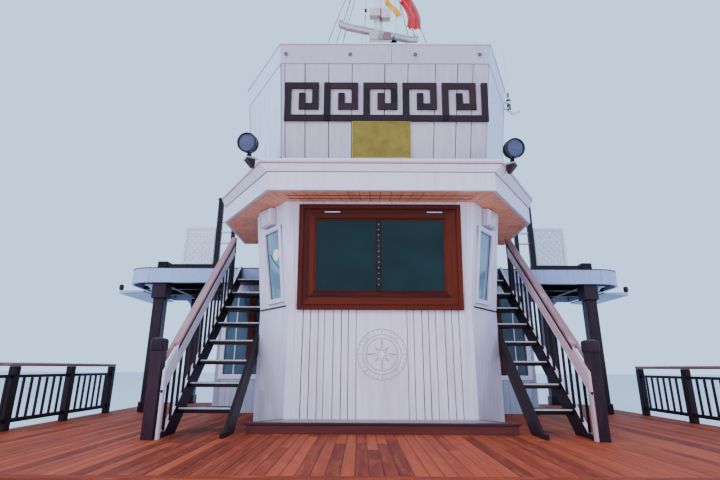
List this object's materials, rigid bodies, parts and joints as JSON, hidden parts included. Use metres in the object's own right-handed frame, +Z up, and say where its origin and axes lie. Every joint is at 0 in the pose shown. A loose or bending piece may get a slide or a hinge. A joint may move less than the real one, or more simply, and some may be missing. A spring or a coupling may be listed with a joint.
{
  "type": "ship's wheelhouse with its strip of deck",
  "caption": "White planked wheelhouse of a cruise junk with a flared eave, a tall roof screen, a signal mast, open stairs and a roof deck, on its own strip of deck.",
  "frame": {"origin": "centre of the underside of the deck frame", "axes": "+Z up, +Y aft, +X to port; the front window looks along -Y"},
  "size_m": [10.6, 7.3, 10.8853],
  "materials": {
    "white_paint": "white gloss paint on boards",
    "varnished_wood": "deep red-brown gloss varnish",
    "dark_wood": "dark brown stain, satin",
    "deck_wood": "oiled red-brown planks",
    "rail_wood": "worn pink-brown varnish",
    "step_wood": "dark red-brown paint",
    "window_glass": "dark green-tinted",
    "pale_glass": "pale blue, clear",
    "lamp_metal": "black enamel",
    "mast_paint": "white enamel",
    "stay_wire": "twisted wire",
    "radar_paint": "white moulded",
    "yellow_cloth": "thin woven",
    "red_cloth": "thin woven"
  },
  "bodies": {
    "house": {"aft_post_port": "dark_wood", "aft_post_stbd": "dark_wood", "deck_frame": "dark_wood", "deck_planking": "deck_wood", "eave_roof": "white_paint", "flag_red": "red_cloth", "flag_yellow": "yellow_cloth", "flood_lamp_port": "white_paint", "flood_lamp_stbd": "white_paint", "front_glass": "window_glass", "front_step": "step_wood", "front_window_frame": "varnished_wood", "helm_desk": "varnished_wood", "lattice_screen_port": "white_paint", "lattice_screen_stbd": "white_paint", "mast": "mast_paint", "mast_stays": "stay_wire", "newel_port": "dark_wood", "newel_stbd": "dark_wood", "radar_pedestal": "radar_paint", "roof_deck": "white_paint", "roof_post_port": "dark_wood", "roof_post_stbd": "dark_wood", "saloon_glass_port": "pale_glass", "saloon_glass_stbd": "pale_glass", "saloon_walls": "white_paint", "screen_canted_port": "white_paint", "screen_canted_stbd": "white_paint", "screen_front": "white_paint", "screen_side_port": "white_paint", "screen_side_stbd": "white_paint", "searchlight_base_port": "lamp_metal", "searchlight_base_stbd": "lamp_metal", "side_light_frame_port": "white_paint", "side_light_frame_stbd": "white_paint", "side_light_glass_port": "pale_glass", "side_light_glass_stbd": "pale_glass", "side_rail_port": "dark_wood", "side_rail_stbd": "dark_wood", "soffit": "white_paint", "stair_port": "dark_wood", "stair_rail_port": "rail_wood", "stair_rail_stbd": "rail_wood", "stair_stbd": "dark_wood", "terrace_post_port": "dark_wood", "terrace_post_stbd": "dark_wood", "wall_back_upper": "white_paint", "wall_canted_port": "white_paint", "wall_canted_stbd": "white_paint", "wall_front": "white_paint", "wall_side_port": "white_paint", "wall_side_stbd": "white_paint", "whip_aerial": "radar_paint"},
    "radar": {"radar_scanner": "radar_paint"},
    "fork_port": {"searchlight_fork_port": "lamp_metal"},
    "head_port": {"searchlight_head_port": "lamp_metal"},
    "fork_stbd": {"searchlight_fork_stbd": "lamp_metal"},
    "head_stbd": {"searchlight_head_stbd": "lamp_metal"},
    "wheel": {"helm_wheel": "varnished_wood"},
    "door": {"back_door": "varnished_wood"}
  },
  "joints": [
    {"name": "radar_turn", "type": "hinge", "parent": "house", "child": "radar", "pos_m": [0.05, -0.35, 6.8953], "axis": [0, 0, 1], "continuous": true},
    {"name": "lamp_pan_port", "type": "hinge", "parent": "house", "child": "fork_port", "pos_m": [1.85, -1.45, 3.8353], "axis": [0, 0, 1], "range_deg": [-120, 120]},
    {"name": "lamp_tilt_port", "type": "hinge", "parent": "fork_port", "child": "head_port", "pos_m": [1.85, -1.45, 3.8353], "axis": [0.9925, 0.1219, 0], "range_deg": [-59, 16]},
    {"name": "lamp_pan_stbd", "type": "hinge", "parent": "house", "child": "fork_stbd", "pos_m": [-1.85, -1.45, 3.9053], "axis": [0, 0, 1], "range_deg": [-120, 120]},
    {"name": "lamp_tilt_stbd", "type": "hinge", "parent": "fork_stbd", "child": "head_stbd", "pos_m": [-1.85, -1.45, 3.9053], "axis": [0.9925, -0.1219, 0], "range_deg": [-59, 16]},
    {"name": "helm_turn", "type": "hinge", "parent": "house", "child": "wheel", "pos_m": [0, 0.17, 1.2553], "axis": [0, 1, 0], "continuous": true},
    {"name": "back_door_swing", "type": "hinge", "parent": "house", "child": "door", "pos_m": [0.392, 2.802, 1.2453], "axis": [0, 0, -1], "range_deg": [0, 105]}
  ]
}
